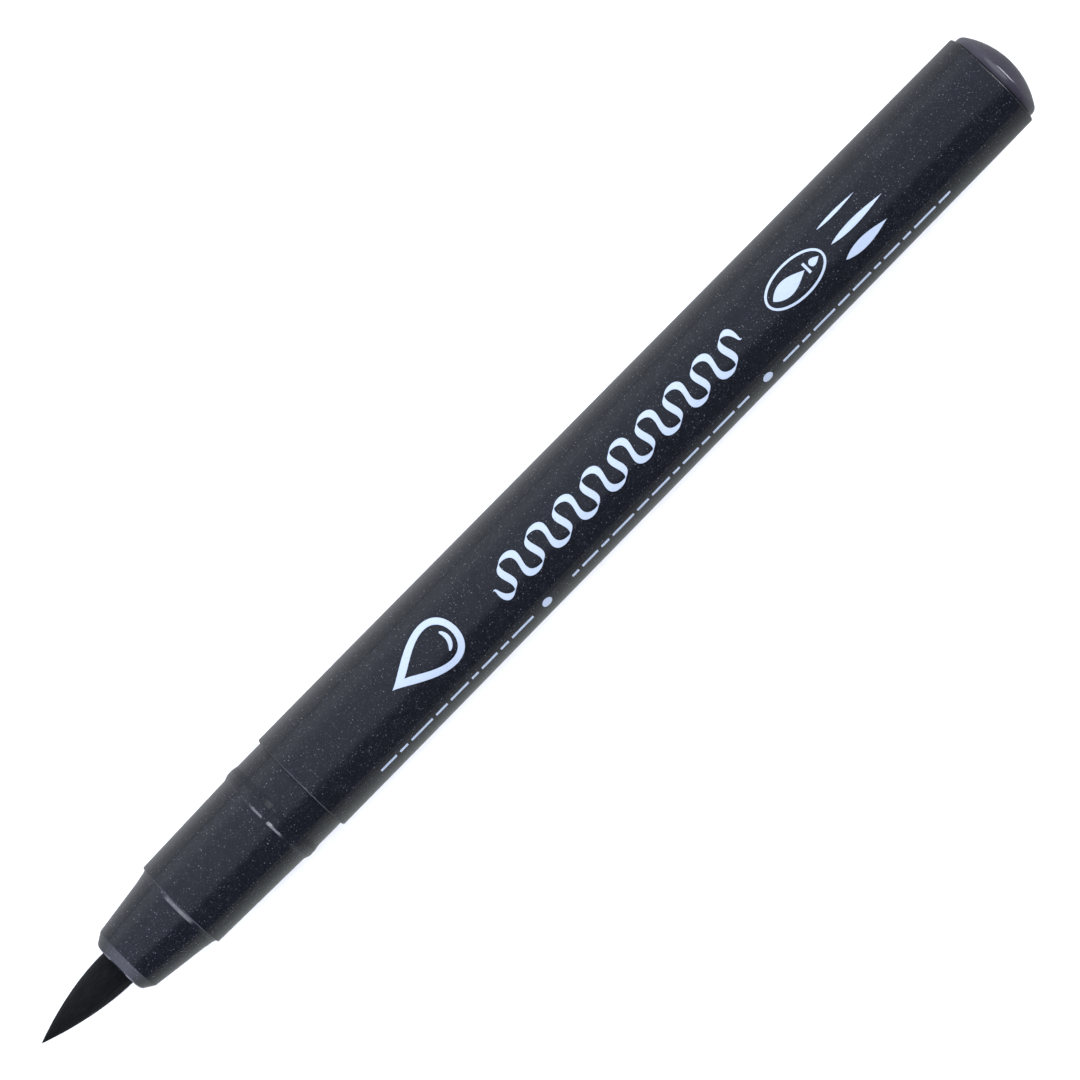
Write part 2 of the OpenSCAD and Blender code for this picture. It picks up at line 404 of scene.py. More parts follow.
@dataclass(frozen=True)
class Value:
    """A number that varies over a surface: an output socket, with arithmetic."""

    tree: "Shader"
    socket: bpy.types.NodeSocket

    def __add__(self, other: Operand) -> "Value":
        """This plus other."""
        return self.tree.maths("ADD", self, other)

    def __sub__(self, other: Operand) -> "Value":
        """This minus other."""
        return self.tree.maths("SUBTRACT", self, other)

    def __rsub__(self, other: Operand) -> "Value":
        """Other minus this."""
        return self.tree.maths("SUBTRACT", other, self)

    def __mul__(self, other: Operand) -> "Value":
        """This times other."""
        return self.tree.maths("MULTIPLY", self, other)

    def __pow__(self, other: Operand) -> "Value":
        """This raised to other."""
        return self.tree.maths("POWER", self, other)

    __radd__ = __add__
    __rmul__ = __mul__

    def step(self, start: float, end: float) -> "Value":
        """Goes smoothly from 0 where this is at start to 1 where it is at end."""
        return self.tree.node("ShaderNodeMapRange", {"interpolation_type": "SMOOTHSTEP"},
                              {"Value": self, "From Min": start, "From Max": end})["Result"]


class Shader:
    """A node tree of one finish, with the methods that add its nodes."""

    def __init__(self, owner: bpy.types.Material | bpy.types.World) -> None:
        """Empties the owner's node tree.

        Args:
            owner: the material or world that the nodes belong to.
        """
        owner.use_nodes = True
        self.nodes = owner.node_tree.nodes
        self.links = owner.node_tree.links
        self.nodes.clear()

    def node(self, kind: str, settings: dict | None = None, inputs: dict | None = None) -> dict[str, Value]:
        """Adds one node.

        Args:
            kind: the node's type.
            settings: its own settings, such as an operation, or a ramp's stops under "stops".
            inputs: values or links by socket name or number.

        Returns:
            Its shown outputs by name, as values.
        """
        node = self.nodes.new(kind)
        for key, setting in (settings or {}).items():
            if key == "stops":
                self._set_stops(node, setting)
            else:
                setattr(node, key, setting)
        shown = {s.name: s for s in node.inputs if s.enabled}
        for key, value in (inputs or {}).items():
            socket = node.inputs[key] if isinstance(key, int) else shown[key]
            if isinstance(value, Value):
                self.links.new(value.socket, socket)
            else:
                socket.default_value = value
        return {s.name: Value(self, s) for s in node.outputs if s.enabled}

    @staticmethod
    def _set_stops(node: bpy.types.Node, stops: Sequence[tuple[float, Sequence[float]]]) -> None:
        """Gives a ramp its stops.

        Args:
            node: the Color Ramp node.
            stops: place and colour of each stop, in order.
        """
        ramp = node.color_ramp
        while len(ramp.elements) < len(stops):
            ramp.elements.new(1.0)
        for element, (place, colour) in zip(ramp.elements, stops):
            element.position = place
            element.color = (*colour, 1.0)

    def maths(self, operation: str, *operands: Operand) -> Value:
        """Adds a Math node over one or two numbers."""
        return self.node("ShaderNodeMath", {"operation": operation}, dict(enumerate(operands)))["Value"]

    def mix(self, first: Sequence[float] | Value, second: Sequence[float] | Value, share: Operand) -> Value:
        """Mixes two colours: first where share is 0, second where it is 1."""
        colours = [c if isinstance(c, Value) else (*c, 1.0) for c in (first, second)]
        return self.node("ShaderNodeMix", {"data_type": "RGBA"},
                         {"Factor": share, "A": colours[0], "B": colours[1]})["Result"]

    def place(self, scale: Sequence[float] = (1.0, 1.0, 1.0)) -> Value:
        """Object coordinates in millimetres, stretched by a scale along each axis."""
        coordinates = self.node("ShaderNodeTexCoord")["Object"]
        return self.node("ShaderNodeMapping", {"vector_type": "POINT"},
                         {"Vector": coordinates, "Scale": [s / MM for s in scale]})["Vector"]

    def noise(self, place: Value, per_mm: float, detail: float = 2.0, roughness: float = 0.5) -> Value:
        """Fractal noise from 0 to 1 with so many swells per millimetre."""
        return self.node("ShaderNodeTexNoise", {"noise_dimensions": "3D"},
                         {"Vector": place, "Scale": per_mm, "Detail": detail, "Roughness": roughness})["Fac"]

    def bump(self, height: Value, depth_mm: float, normal: Value | None = None) -> Value:
        """Normals of a surface raised by height times a depth in millimetres."""
        inputs = {"Height": height, "Strength": 1.0, "Distance": depth_mm * MM}
        if normal is not None:
            inputs["Normal"] = normal
        return self.node("ShaderNodeBump", None, inputs)["Normal"]

    def surface(self, **inputs: object) -> None:
        """Adds the surface shader and the output. A socket's spaces are written as underscores."""
        named = {key.replace("_", " "): value for key, value in inputs.items()}
        shader = self.node("ShaderNodeBsdfPrincipled", None, named)["BSDF"]
        self.node("ShaderNodeOutputMaterial", None, {"Surface": shader})


# ---------------------------------------------------------------- finishes


Colour = tuple[float, float, float]


@dataclass(frozen=True)
class Finish:
    """What every finish has: a name, and a material that is made once."""

    name: str

    def paint(self, shader: Shader) -> None:
        """Adds the finish's nodes; each finish has its own."""
        raise NotImplementedError

    def material(self) -> bpy.types.Material:
        """The finish's material, made at its first use."""
        found = bpy.data.materials.get(self.name)
        if found is None:
            found = bpy.data.materials.new(self.name)
            self.paint(Shader(found))
        return found


@dataclass(frozen=True)
class GlitterPlastic(Finish):
    """Dark moulded plastic with fine mica flakes in it and a satin skin.

    Args:
        base: colour of the plastic between the flakes.
        flake: colour of the brightest flakes.
        flake_cell: mean distance between large flakes, in mm.
        flake_r: radius of a large flake, in mm.
        dust_cell: mean distance between specks of dust, in mm.
        dust_r: radius of a speck of dust, in mm.
        roughness: roughness of the skin.
        gloss: index of refraction of the skin.
    """

    base: Colour = (0.0050, 0.0056, 0.0078)
    flake: Colour = (0.140, 0.150, 0.170)
    flake_cell: float = 0.24
    flake_r: float = 0.06
    dust_cell: float = 0.13
    dust_r: float = 0.05
    roughness: float = 0.10
    gloss: float = 1.28

    def flakes(self, shader: Shader, place: Value, cell: float, radius: float) -> Value:
        """Round specks of random brightness, one in each cell of a scattered pattern.

        The speck's edge runs from its full radius to a third of it, and its brightness is the power
        2.5 of an even random number, so that few flakes are bright.

        Args:
            shader: the finish's node tree.
            place: coordinates in mm.
            cell: mean distance between specks, in mm.
            radius: a speck's radius, in mm.

        Returns:
            The specks' brightness, from 0 to 1.
        """
        cells = shader.node("ShaderNodeTexVoronoi", {"voronoi_dimensions": "3D", "feature": "F1"},
                            {"Vector": place, "Scale": 1 / cell, "Randomness": 1.0})
        luck = shader.node("ShaderNodeSeparateColor", None, {"Color": cells["Color"]})["Red"]
        return cells["Distance"].step(radius / cell, 0.3 * radius / cell) * luck ** 2.5

    def paint(self, shader: Shader) -> None:
        """Flakes and dust lighten the colour, mottling shifts it, and a fine grain breaks the gloss."""
        place = shader.place()
        drawn = shader.place((0.75, 1.0, 1.0))
        large = self.flakes(shader, drawn, self.flake_cell, self.flake_r)
        dust = self.flakes(shader, drawn, self.dust_cell, self.dust_r)
        mottle = shader.noise(place, 0.9, 3.0)
        grain = shader.noise(place, 9.0, 2.0, 0.6)
        lean = tuple(1.3 * c for c in self.base)
        ground = shader.mix(self.base, lean, mottle.step(0.3, 0.75))
        speckled = shader.mix(ground, self.flake, large * 0.85 + dust * 0.3)
        skin = self.roughness + 0.05 * grain + 0.04 * mottle
        swell = shader.bump(shader.noise(place, 0.45, 1.0), 0.012)
        shader.surface(Base_Color=speckled, Roughness=skin, Normal=shader.bump(grain, 0.0012, swell),
                       IOR=self.gloss)


@dataclass(frozen=True)
class SmoothPlastic(Finish):
    """Plain moulded plastic with a faint mottling, fine scratches and a grain.

    Args:
        base: the plastic's colour.
        worn: its colour where it has been rubbed.
        roughness: roughness of the skin.
        gloss: index of refraction of the skin.
    """

    base: Colour = (0.027, 0.0245, 0.0345)
    worn: Colour = (0.034, 0.031, 0.043)
    roughness: float = 0.09
    gloss: float = 1.28

    def paint(self, shader: Shader) -> None:
        """Mottling and hair scratches lighten the colour and roughen the skin."""
        place = shader.place()
        mottle = shader.noise(place, 0.8, 3.0)
        grain = shader.noise(place, 7.0, 2.0)
        scratches = shader.noise(shader.place((1.0, 0.06, 1.0)), 6.0, 2.0, 0.7).step(0.62, 0.72)
        colour = shader.mix(self.base, self.worn, mottle.step(0.35, 0.8) * 0.6 + scratches * 0.25)
        skin = self.roughness + 0.06 * grain + 0.12 * scratches
        shader.surface(Base_Color=colour, Roughness=skin, IOR=self.gloss,
                       Normal=shader.bump(grain * 0.5 + scratches * 0.5, 0.002))


@dataclass(frozen=True)
class StrandedFibre(Finish):
    """Bundled fibres that follow the piece: ink-soaked felt, wicks and reservoirs.

    Args:
        base: colour deep between the fibres: the felt's own dark tone, painted darker as shade in the hollows.
        ridge: colour on the fibres.
        count: how many strands a radian of the piece holds.
        depth: how far the fibres stand up, in mm.
        roughness: roughness of the fibres.
        sheen: how much the fine hairs catch the light at the edges.
    """

    base: Colour = (0.0011, 0.0011, 0.0013)
    ridge: Colour = (0.0032, 0.0033, 0.0037)
    count: float = 9.0
    depth: float = 0.02
    roughness: float = 0.66
    sheen: float = 0.02

    def paint(self, shader: Shader) -> None:
        """Long noise along the strands parts them, and short noise breaks each strand up. The colour follows the same
        height, with painted shade deep between the fibres.
        """
        strands = shader.node("ShaderNodeAttribute", {"attribute_name": STRANDS})["Vector"]
        long = shader.noise(strands, self.count, 3.0, 0.6)
        short = shader.noise(shader.place(), 5.5, 3.0, 0.65)
        height = long.step(0.3, 0.7) * 0.7 + short * 0.5
        # painted shade: where the fibres' height is low, the colour falls to the darker base between them
        lit = height.step(0.45, 1.0)
        shader.surface(Base_Color=shader.mix(self.base, self.ridge, lit),
                       Roughness=self.roughness + 0.2 * short, Normal=shader.bump(height, self.depth),
                       Sheen_Weight=self.sheen, Sheen_Roughness=0.5, IOR=1.16)


@dataclass(frozen=True)
class DrawnFibre(Finish):
    """Straight fibre bundles that run along the pen, stained by ink in long clouds.

    Args:
        base: colour where the ink has soaked in.
        ridge: colour of the drier fibres.
        depth: how far the fibres stand up, in mm.
    """

    base: Colour = (0.014, 0.012, 0.026)
    ridge: Colour = (0.11, 0.10, 0.15)
    depth: float = 0.03

    def paint(self, shader: Shader) -> None:
        """Noise stretched along X draws the fibres, and a slow noise gives the stain."""
        fibres = shader.noise(shader.place((0.05, 1.0, 1.0)), 7.0, 3.0, 0.6)
        stain = shader.noise(shader.place((0.25, 1.0, 1.0)), 0.5, 3.0)
        lit = fibres.step(0.35, 0.75) * 0.6 + stain.step(0.4, 0.7) * 0.4
        shader.surface(Base_Color=shader.mix(self.base, self.ridge, lit), Roughness=0.75 - 0.15 * fibres,
                       Normal=shader.bump(fibres, self.depth), IOR=1.45)


@dataclass(frozen=True)
class MilkyPlastic(Finish):
    """Uncoloured moulded plastic, with faint flow marks and the bloom of handling.

    Args:
        base: its colour.
        shade: its colour in the flow marks.
    """

    base: Colour = (0.72, 0.71, 0.66)
    shade: Colour = (0.58, 0.57, 0.53)

    def paint(self, shader: Shader) -> None:
        """Flow marks run round the piece, and a fine grain breaks the gloss."""
        place = shader.place()
        flow = shader.noise(shader.place((0.35, 1.0, 1.0)), 0.8, 4.0, 0.6)
        grain = shader.noise(place, 8.0, 2.0)
        shader.surface(Base_Color=shader.mix(self.base, self.shade, flow.step(0.35, 0.75)),
                       Roughness=0.34 + 0.12 * grain, Normal=shader.bump(grain, 0.003), IOR=1.5)


@dataclass(frozen=True)
class WrappedFilm(Finish):
    """Thin white film, wound with faint creases.

    Args:
        base: its colour.
        crease_shade: painted shade in the creases, a darker colour than the film's.
    """

    base: Colour = (0.78, 0.79, 0.80)
    crease_shade: Colour = (0.55, 0.56, 0.60)

    def paint(self, shader: Shader) -> None:
        """Ridged noise stretched along X gives the creases, bumped in and darkened with a painted shade."""
        creases = shader.noise(shader.place((0.12, 1.0, 1.0)), 1.4, 4.0, 0.6).step(0.42, 0.62)
        # painted shade: the low creases take the darker crease colour
        shader.surface(Base_Color=shader.mix(self.crease_shade, self.base, creases),
                       Roughness=0.22 + 0.15 * creases, Normal=shader.bump(creases, 0.02), IOR=1.5)


@dataclass(frozen=True)
class PrintInk(Finish):
    """Pale screen-printing ink, a little thin in places.

    Args:
        base: colour of a full coat.
        thin: colour where the plastic shows through.
    """

    base: Colour = (0.29, 0.34, 0.42)
    thin: Colour = (0.22, 0.26, 0.34)

    def paint(self, shader: Shader) -> None:
        """Fine noise thins the coat and roughens it."""
        place = shader.place()
        coat = shader.noise(place, 5.0, 3.0, 0.65)
        shader.surface(Base_Color=shader.mix(self.base, self.thin, coat.step(0.5, 0.85)),
                       Roughness=0.42 + 0.2 * coat, Normal=shader.bump(coat, 0.003), IOR=1.5)


@dataclass(frozen=True)
class Paper(Finish):
    """The white paper that the marker lies on."""

    base: Colour = (0.90, 0.90, 0.90)
    shade: Colour = (0.87, 0.87, 0.87)

    def paint(self, shader: Shader) -> None:
        """A slow noise shades the sheet by a few hundredths."""
        shader.surface(Base_Color=shader.mix(self.base, self.shade, shader.noise(shader.place(), 0.02)),
                       Roughness=0.9, Specular_IOR_Level=0.1)


class Look(Enum):
    """The marker's finishes."""

    BODY = GlitterPlastic("ink_dark_plastic")
    PLUG = SmoothPlastic("end_plug_plastic")
    FELT = StrandedFibre("felt_nib")
    MILKY = MilkyPlastic("natural_plastic")
    FIBRE = DrawnFibre("ink_fibre")
    FILM = WrappedFilm("reservoir_film")
    PRINT = PrintInk("pale_print")
    PAPER = Paper("white_paper")

    def material(self) -> bpy.types.Material:
        """The finish's material."""
        return self.value.material()


# ---------------------------------------------------------------- the marker's parts


@dataclass
class BarrelSkin:
    """The barrel: a tapering tube with ribs inside that hold the reservoir.

    Args:
        rear_x: place of its rear edge; its front edge is at 0.
        front_r: radius of the untapered band in front.
        rear_r: radius at the rear edge.
        band_len: length of the band.
    """

    rear_x: float
    front_r: float = 6.01
    rear_r: float = 5.735
    band_len: float = 12.0
    bore_r: float = 4.6
    edge: float = 0.2
    rib_h: float = 0.3
    rib_w: float = 0.8
    rib_count: int = 6
    rib_start: float = 9.2
    rib_clear: float = 11.0

    def radius_at(self, x: Array) -> Array:
        """Outer radius: front_r along the band, then falling evenly to rear_r."""
        share = np.clip((x - self.band_len) / (self.rear_x - self.band_len), 0, 1)
        return self.front_r + (self.rear_r - self.front_r) * share

    def rib_edges(self) -> list[float]:
        """Angles of the ribs' sides."""
        half = self.rib_w / 2 / self.bore_r
        return [TURN * i / self.rib_count + s * half for i in range(self.rib_count) for s in (-1, 1)]

    def ribbed(self, x: Array, r: Array, a: Array) -> Array:
        """Lowers the bore's radius by the ribs' height where a rib runs."""
        pitch = TURN / self.rib_count
        offset = np.abs((a + pitch / 2) % pitch - pitch / 2) * self.bore_r
        on_rib = (offset < self.rib_w / 2) & (r < self.bore_r + 0.01)
        on_rib &= (x > self.rib_start) & (x < self.rear_x - self.rib_clear)
        return np.where(on_rib, r - self.rib_h, r)

    def shell(self) -> Shell:
        """Turns the tube's closed outline."""
        corners = [
            Corner(0, self.bore_r, 0.05), Corner(0, self.front_r, self.edge),
            Corner(self.band_len, self.front_r, 3.0), Corner(self.rear_x, self.rear_r, self.edge),
            Corner(self.rear_x, self.bore_r, 0.05),
        ]
        return turned(rounded(corners, closed=True), angles_with_edges(160, self.rib_edges()), True,
                      rule=self.ribbed)

    def build(self) -> bpy.types.Object:
        """Makes the barrel's piece."""
        piece = make_piece("barrel_skin", [self.shell()], Look.BODY.material(), "dark_plastic")
        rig.replaces(piece, "barrel")
        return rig.ride(piece, "pen")


@dataclass
class FrontSectionSkin:
    """The front section: collar, bead with two air vents, tapered neck, nose cone and lip.

    Lengths with `at` in their names run forwards from the barrel's front edge. The bead ends in a ramp, and
    the shoulder in a bevel whose upper and lower edges stand `bevel_top` and `bevel_foot` over the nose.
    """

    lip_at: float
    rear_at: float
    collar_r: float = 5.66
    collar_len: float = 3.2
    bead_r: float = 5.79
    bead_at: float = 3.9
    bead_end_at: float = 4.6
    ramp_len: float = 0.5
    ramp_drop: float = 0.197
    neck_at: float = 5.3
    neck_rear_r: float = 5.56
    neck_front_r: float = 5.28
    shoulder_at: float = 17.1
    bevel_top: float = 0.2
    bevel_foot: float = 0.035
    bevel_len: float = 0.4
    nose_at: float = 17.8
    nose_r: float = 4.84
    cone_end_at: float = 24.6
    cone_end_r: float = 3.885
    rim_at: float = 25.7
    rim_r: float = 3.185
    lip_r: float = 2.95
    hole_r: float = 2.25
    hole_len: float = 0.95
    holder_r: float = 2.75
    holder_at: float = 10.5
    chamber_r: float = 3.9
    spigot_r: float = 4.6
    vent_w: float = 0.7
    vent_count: int = 2

    def vent_edges(self) -> list[float]:
        """Angles of the vents' sides."""
        half = self.vent_w / 2 / self.bead_r
        return [TURN * i / self.vent_count + s * half for i in range(self.vent_count) for s in (-1, 1)]

    def vented(self, x: Array, r: Array, a: Array) -> Array:
        """Lowers the bead to the neck's radius where a vent runs."""
        pitch = TURN / self.vent_count
        offset = np.abs((a + pitch / 2) % pitch - pitch / 2) * self.bead_r
        along = smooth_step(-x, self.collar_len + 0.1, self.collar_len + 0.35)
        cut = (offset < self.vent_w / 2) & (r > self.neck_rear_r) & (-x > self.collar_len)
        return np.where(cut, r + (self.neck_rear_r - r) * along, r)

    def corners(self) -> list[Corner]:
        """The closed outline, from the collar forwards over the lip and back along the bores."""
        bevel_at = self.shoulder_at + 0.05
        front = [
            (0.0, self.collar_r, 0.05), (self.collar_len, self.collar_r, 0.6),
            (self.bead_at, self.bead_r, 0.3), (self.bead_end_at, self.bead_r, 1.8),
            (self.bead_end_at + self.ramp_len, self.bead_r - self.ramp_drop, 0.1),
            (self.neck_at, self.neck_rear_r, 0.4), (self.shoulder_at, self.neck_front_r, 0.12),
            (bevel_at - 0.03, self.nose_r + self.bevel_top + 0.04, 0.03),
            (bevel_at, self.nose_r + self.bevel_top, 0.02),
            (bevel_at + self.bevel_len, self.nose_r + self.bevel_foot, 0.05),
            (self.nose_at, self.nose_r, 0.4),
            (self.nose_at + 0.8, self.nose_r - 0.16, 2.0), (self.cone_end_at, self.cone_end_r, 0.04),
            (self.rim_at, self.rim_r, 0.06), (self.lip_at, self.lip_r, 0.05),
            (self.lip_at, self.hole_r, 0.12), (self.lip_at - self.hole_len, self.hole_r, 0.03),
            (self.lip_at - self.hole_len, self.holder_r, 0.03), (self.holder_at, self.holder_r, 0.05),
            (self.holder_at, self.chamber_r, 0.1), (self.rear_at, self.chamber_r, 0.05),
            (self.rear_at, self.spigot_r, 0.4), (0.0, self.spigot_r, 0.03),
        ]
        return [Corner(-at, r, rounding) for at, r, rounding in front]

    def build(self) -> bpy.types.Object:
        """Makes the front section's piece."""
        outline = rounded(self.corners(), closed=True, spacing=0.5)
        shell = turned(outline, angles_with_edges(160, self.vent_edges()), True, rule=self.vented)
        piece = make_piece("front_section_skin", [shell], Look.BODY.material(), "dark_plastic")
        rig.replaces(piece, "front_section")
        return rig.ride(piece, "pen")


@dataclass
class EndPlugSkin:
    """The end plug: a domed head over a hollow stem, with crossed fins that stop the reservoir.

    Args:
        seat_x: place of the barrel's rear edge, over which the head stands.
        apex_x: place of the head's end on the axis.
        gap_w: width of the shadow gap between the head and the barrel's edge.
        gap_r: radius of the gap's floor.
    """

    seat_x: float
    apex_x: float
    rim_r: float = 5.3
    crown_r: float = 8.7
    fillet_r: float = 0.9
    gap_w: float = 0.16
    gap_r: float = 4.95
    stem_r: float = 4.6
    stem_len: float = 8.0
    cup_r: float = 3.6
    floor_t: float = 1.4
    fin_t: float = 0.8
    fin_w: float = 5.0
    fin_start_x: float = 87.6

    def dome(self) -> Array:
        """The head's outline from the axis to its rim: the crown's arc, then the fillet's.

        The fillet touches the crown from inside, so its centre lies crown_r - fillet_r from the crown's
        centre and fillet_r inside the rim.
        """
        crown_x = self.apex_x - self.crown_r
        reach = self.crown_r - self.fillet_r
        height = self.rim_r - self.fillet_r
        meet = math.degrees(math.asin(height / reach))
        fillet_x = crown_x + math.sqrt(reach**2 - height**2)
        crown = arc(crown_x, 0, self.crown_r, 0, meet, 28)
        return np.concatenate([crown, arc(fillet_x, height, self.fillet_r, meet, 90, 10)[1:]])

    def fins(self) -> Shell:
        """Two crossed plates, as one plus-shaped section carried along X."""
        t, w = self.fin_t / 2, self.fin_w / 2
        quarter = np.array([(t, t), (t, w), (-t, w)])
        turns = [np.array([[c, -s], [s, c]]) for c, s in ((1, 0), (0, 1), (-1, 0), (0, -1))]
        plus = np.concatenate([quarter @ turn.T for turn in turns])
        rows = np.array([self.fin_start_x, self.fin_start_x + 0.1, self.seat_x - self.floor_t + 0.2])
        shrink = np.array([0.96, 1.0, 1.0])[:, None, None]
        section = plus[None] * shrink
        x = rows[:, None, None] * np.ones((1, len(plus), 1))
        return tube(np.concatenate([x, section], axis=-1))

    def build(self) -> bpy.types.Object:
        """Makes the plug's piece."""
        cup_x, stem_x = self.seat_x - self.floor_t, self.seat_x - self.stem_len
        stem = rounded([
            Corner(self.seat_x, self.stem_r, 0.03),
            Corner(stem_x, self.stem_r, 0.25), Corner(stem_x, self.cup_r, 0.15),
            Corner(cup_x, self.cup_r, 0.3), Corner(cup_x, 0.0),
        ])
        edge_x = self.seat_x + self.gap_w
        shadow_gap = rounded([Corner(edge_x - 0.04, self.rim_r), Corner(edge_x, self.rim_r - 0.04),
                              Corner(edge_x, self.gap_r, 0.02), Corner(self.seat_x, self.gap_r)])
        outline = np.concatenate([self.dome()[:-1], shadow_gap, stem])
        head = turned(outline, even_angles())
        piece = make_piece("end_plug_skin", [head, self.fins()], Look.PLUG.material(), "plug_plastic")
        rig.replaces(piece, "end_plug")
        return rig.ride(piece, "pen")


@dataclass
class FeltNib:
    """The felt nib: a straight root in its holder and a full-bellied point that leans with wear.

    Args:
        tip_at: how far in front of the barrel's edge the tip lies.
        lip_at: the same for the front section's lip.
        root_at: the same for the back of the root.
        bend: where the nib starts and stops bending, as lengths in front of the lip.
    """

    tip_at: float
    lip_at: float
    root_at: float = 9.9
    root_r: float = 2.1
    belly_r: float = 2.09
    fullness: float = 1.92
    lean_at_lip: float = 0.04
    lean_at_tip: float = 0.18
    lean_start: float = 19.0
    ridge_depth: float = 0.022
    point_r: float = 0.03
    bend: tuple[float, float] = (-0.25, 3.6)

    def centre_line(self, at: Array) -> Array:
        """How far the centre lies to the worn side.

        It eases from 0 to the lip's lean over the root, and on to the tip's lean as 1 - (1 - t)^2,
        with t the share of the free length.
        """
        t = np.clip((at - self.lip_at) / (self.tip_at - self.lip_at), 0, 1)
        eased = self.lean_at_lip * smooth_step(at, self.lean_start, self.lip_at)
        return eased + (self.lean_at_tip - self.lean_at_lip) * (1 - (1 - t) ** 2)

    def radius(self, at: Array) -> Array:
        """Belly radius times 1 - t^fullness on the free length, and the root's radius behind it."""
        t = np.clip((at - self.lip_at) / (self.tip_at - self.lip_at), 0, 1)
        full = self.root_r + (self.belly_r - self.root_r) * smooth_step(at, self.lip_at - 1.5, self.lip_at)
        return np.maximum(full * (1 - t**self.fullness), self.point_r * (1 - t**8) + 1e-4)

    def ridges(self, at: Array, a: Array) -> Array:
        """Height of the fibres: a sum of waves round the nib whose phases drift along it, from -1 to 1."""
        random = np.random.default_rng(7)
        counts = np.array([11, 17, 23, 31, 43])
        phases = random.uniform(0, TURN, len(counts))
        drifts = random.uniform(-0.35, 0.35, len(counts))
        waves = [np.sin(n * a + p + d * at) for n, p, d in zip(counts, phases, drifts)]
        return sum(waves) / len(waves)

    def build(self) -> bpy.types.Object:
        """Makes the nib, whose free end bends away from the pen's body."""
        root = np.linspace(self.root_at, self.lip_at - 2, 18)[:-1]
        t = np.linspace(0, 1, 90)
        free = self.lip_at - 2 + (self.tip_at - self.lip_at + 2) * (1 - (1 - t) ** 1.35)
        at = np.concatenate([root, free])[:-1, None]
        a = even_angles(128)[None, :]
        out = smooth_step(at, self.lip_at - 1, self.lip_at + 1)
        r = self.radius(at) * (1 + self.ridge_depth * out * self.ridges(at, a))
        y = self.centre_line(at) + r * np.sin(a)
        sections = np.stack([-at * np.ones_like(a), y, r * np.cos(a)], axis=-1)
        lean = float(self.centre_line(np.array(self.tip_at)))
        shell = tube(sections, (np.array([-self.root_at, 0, 0]), np.array([-self.tip_at, lean, 0])))
        strands = np.stack([0.12 * at * np.ones_like(a), np.sin(a) * np.ones_like(at),
                            np.cos(a) * np.ones_like(at)], axis=-1).reshape(-1, 3)
        shell.strands = np.concatenate([strands, strands[:1], strands[-1:]])
        piece = make_piece("felt_nib", [shell], Look.FELT.material(), "felt")
        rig.replaces(piece, "nib_root", "nib_tip")
        start, end = ((-(self.lip_at + b) * MM, 0, 0) for b in self.bend)
        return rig.blend(piece, "pen", "nib", start=start, end=end)


